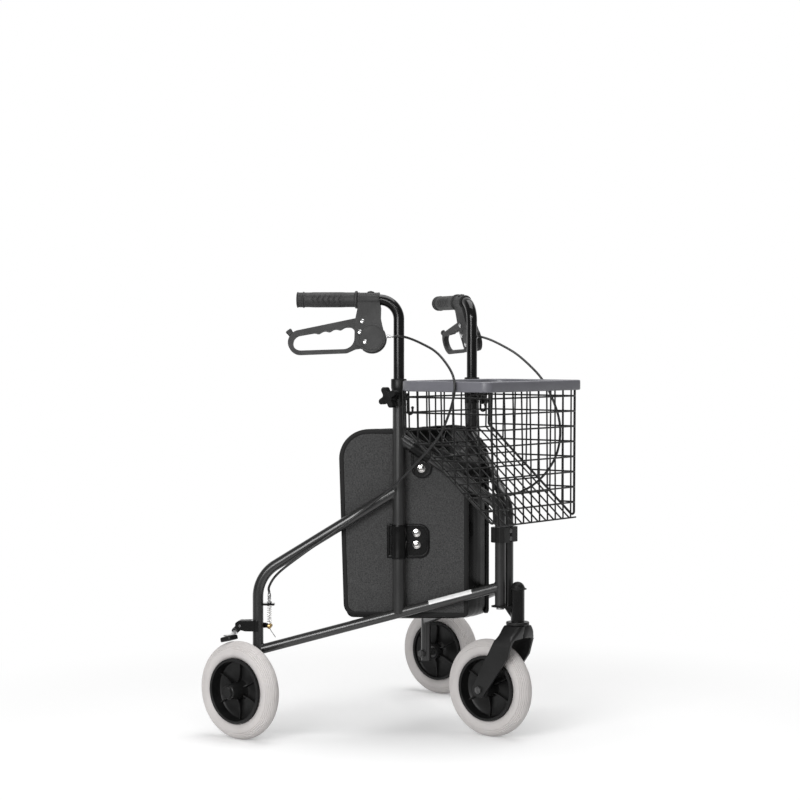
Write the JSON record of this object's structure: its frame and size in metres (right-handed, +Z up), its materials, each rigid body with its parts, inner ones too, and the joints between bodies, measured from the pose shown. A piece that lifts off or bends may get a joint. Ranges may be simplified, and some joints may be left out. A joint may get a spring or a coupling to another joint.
{
  "type": "three wheel rollator",
  "caption": "Folding wheeled walking aid with a swivelling front wheel, height-adjustable brake handles, lift-off wire basket and fabric bag.",
  "frame": {"origin": "on the floor, at the middle of the footprint's box", "axes": "+Z up, -Y the way the walker goes, -X the walker's right"},
  "size_m": [0.764, 0.5962, 0.9127],
  "materials": {
    "graphite_paint": "gloss metallic",
    "black_paint": "gloss",
    "black_plastic": "satin",
    "grip_plastic": "matte",
    "steel": "plated",
    "brass": "worn",
    "cable_casing": "satin",
    "tyre_grey": "matte",
    "hub_plastic": "satin",
    "rim_plastic": "satin",
    "wire_black": "dip coated",
    "bag_cloth": "plain weave",
    "bag_vinyl": "coated, glossy"
  },
  "bodies": {
    "front_hinge": {"hinge_bracket": "black_paint", "head_cap": "black_plastic", "head_bushes": "steel", "hinge_clamp": "black_plastic", "hinge_pins": "steel", "bag_gusset": "bag_vinyl"},
    "caster": {"caster_fork": "black_paint", "caster_stem": "steel", "front_axle": "steel"},
    "front_wheel": {"front_tyre": "tyre_grey", "front_hub": "hub_plastic", "front_bearings": "steel"},
    "basket": {"basket_rim": "rim_plastic", "basket_wires": "wire_black"},
    "right_frame": {"right_lower_tube": "graphite_paint", "right_upright_tube": "graphite_paint", "right_rear_tube": "graphite_paint", "right_front_tube": "graphite_paint", "right_height_collar": "black_plastic", "right_brake_bracket": "black_paint", "right_cable_adjuster": "steel", "right_axle": "steel", "right_brake_cable": "cable_casing", "right_brake_spring": "steel", "right_bag_panel": "bag_cloth", "right_bag_straps": "bag_vinyl"},
    "right_handle": {"right_handle_tube": "black_paint", "right_grip": "grip_plastic", "right_brake_housing": "grip_plastic", "right_housing_fittings": "steel"},
    "right_lever": {"right_brake_lever": "grip_plastic"},
    "right_knob": {"right_knob": "black_plastic"},
    "right_brake": {"right_brake_arm": "black_paint", "right_cable_clamp": "brass"},
    "right_wheel": {"right_tyre": "tyre_grey", "right_hub": "hub_plastic", "right_bearings": "steel"},
    "left_frame": {"left_lower_tube": "graphite_paint", "left_upright_tube": "graphite_paint", "left_rear_tube": "graphite_paint", "left_front_tube": "graphite_paint", "left_height_collar": "black_plastic", "left_brake_bracket": "black_paint", "left_cable_adjuster": "steel", "left_axle": "steel", "left_brake_cable": "cable_casing", "left_brake_spring": "steel", "left_bag_panel": "bag_cloth", "left_bag_straps": "bag_vinyl"},
    "left_handle": {"left_handle_tube": "black_paint", "left_grip": "grip_plastic", "left_brake_housing": "grip_plastic", "left_housing_fittings": "steel"},
    "left_lever": {"left_brake_lever": "grip_plastic"},
    "left_knob": {"left_knob": "black_plastic"},
    "left_brake": {"left_brake_arm": "black_paint", "left_cable_clamp": "brass"},
    "left_wheel": {"left_tyre": "tyre_grey", "left_hub": "hub_plastic", "left_bearings": "steel"}
  },
  "joints": [
    {"name": "caster_swivel", "type": "hinge", "parent": "front_hinge", "child": "caster", "pos_m": [0, -0.25262, 0.243], "axis": [0, 0, 1], "continuous": true},
    {"name": "front_wheel_spin", "type": "hinge", "parent": "caster", "child": "front_wheel", "pos_m": [0, -0.18412, 0.1], "axis": [1, 0, 0], "continuous": true},
    {"name": "right_fold", "type": "hinge", "parent": "front_hinge", "child": "right_frame", "pos_m": [-0.0135, -0.21912, 0.417], "axis": [0, 0, -1], "range_deg": [0, 25], "deforming": ["bag_gusset"]},
    {"name": "right_handle_height", "type": "slide", "parent": "right_frame", "child": "right_handle", "axis": [0, 0, 1], "range_m": [-0.045, 0.1], "deforming": ["right_brake_cable"]},
    {"name": "right_brake_squeeze", "type": "hinge", "parent": "right_handle", "child": "right_lever", "pos_m": [-0.1754, 0.00865, 0.84694], "axis": [0.8138, 0.5285, -0.2419], "range_deg": [0, 14], "stiffness_Nm_per_rad": 2, "springref_deg": -8.59},
    {"name": "right_brake_pull", "type": "hinge", "parent": "right_frame", "child": "right_brake", "pos_m": [-0.31721, 0.21918, 0.226], "axis": [-0.8387, -0.5446, 0], "range_deg": [0, 4], "stiffness_Nm_per_rad": 2, "springref_deg": -5.73, "deforming": ["right_brake_spring"]},
    {"name": "right_knob_turn", "type": "hinge", "parent": "right_frame", "child": "right_knob", "pos_m": [-0.12624, -0.04551, 0.696], "axis": [-1, 0, 0], "continuous": true},
    {"name": "right_wheel_spin", "type": "hinge", "parent": "right_frame", "child": "right_wheel", "pos_m": [-0.33996, 0.19812, 0.1], "axis": [1, 0, 0], "continuous": true},
    {"name": "left_fold", "type": "hinge", "parent": "front_hinge", "child": "left_frame", "pos_m": [0.0135, -0.21912, 0.417], "axis": [0, 0, 1], "range_deg": [0, 25]},
    {"name": "left_handle_height", "type": "slide", "parent": "left_frame", "child": "left_handle", "axis": [0, 0, 1], "range_m": [-0.045, 0.1], "deforming": ["left_brake_cable"]},
    {"name": "left_brake_squeeze", "type": "hinge", "parent": "left_handle", "child": "left_lever", "pos_m": [0.1754, 0.00865, 0.84694], "axis": [0.8138, -0.5285, 0.2419], "range_deg": [0, 14], "stiffness_Nm_per_rad": 2, "springref_deg": -8.59},
    {"name": "left_brake_pull", "type": "hinge", "parent": "left_frame", "child": "left_brake", "pos_m": [0.31721, 0.21918, 0.226], "axis": [-0.8387, 0.5446, 0], "range_deg": [0, 4], "stiffness_Nm_per_rad": 2, "springref_deg": -5.73, "deforming": ["left_brake_spring"]},
    {"name": "left_knob_turn", "type": "hinge", "parent": "left_frame", "child": "left_knob", "pos_m": [0.12624, -0.04551, 0.696], "axis": [-1, 0, 0], "continuous": true},
    {"name": "left_wheel_spin", "type": "hinge", "parent": "left_frame", "child": "left_wheel", "pos_m": [0.33996, 0.19812, 0.1], "axis": [1, 0, 0], "continuous": true},
    {"name": "basket_lift", "type": "slide", "parent": "front_hinge", "child": "basket", "axis": [0, 0, 1], "range_m": [0, 0.5]}
  ],
  "couplings": [
    {"joint": "right_brake_pull", "follows": "right_brake_squeeze", "ratio": 0.2857},
    {"joint": "left_brake_pull", "follows": "left_brake_squeeze", "ratio": 0.2857},
    {"joint": "left_fold", "follows": "right_fold", "ratio": 1},
    {"joint": "basket_lift", "follows": "right_fold", "m_per_rad": 1.1459}
  ]
}
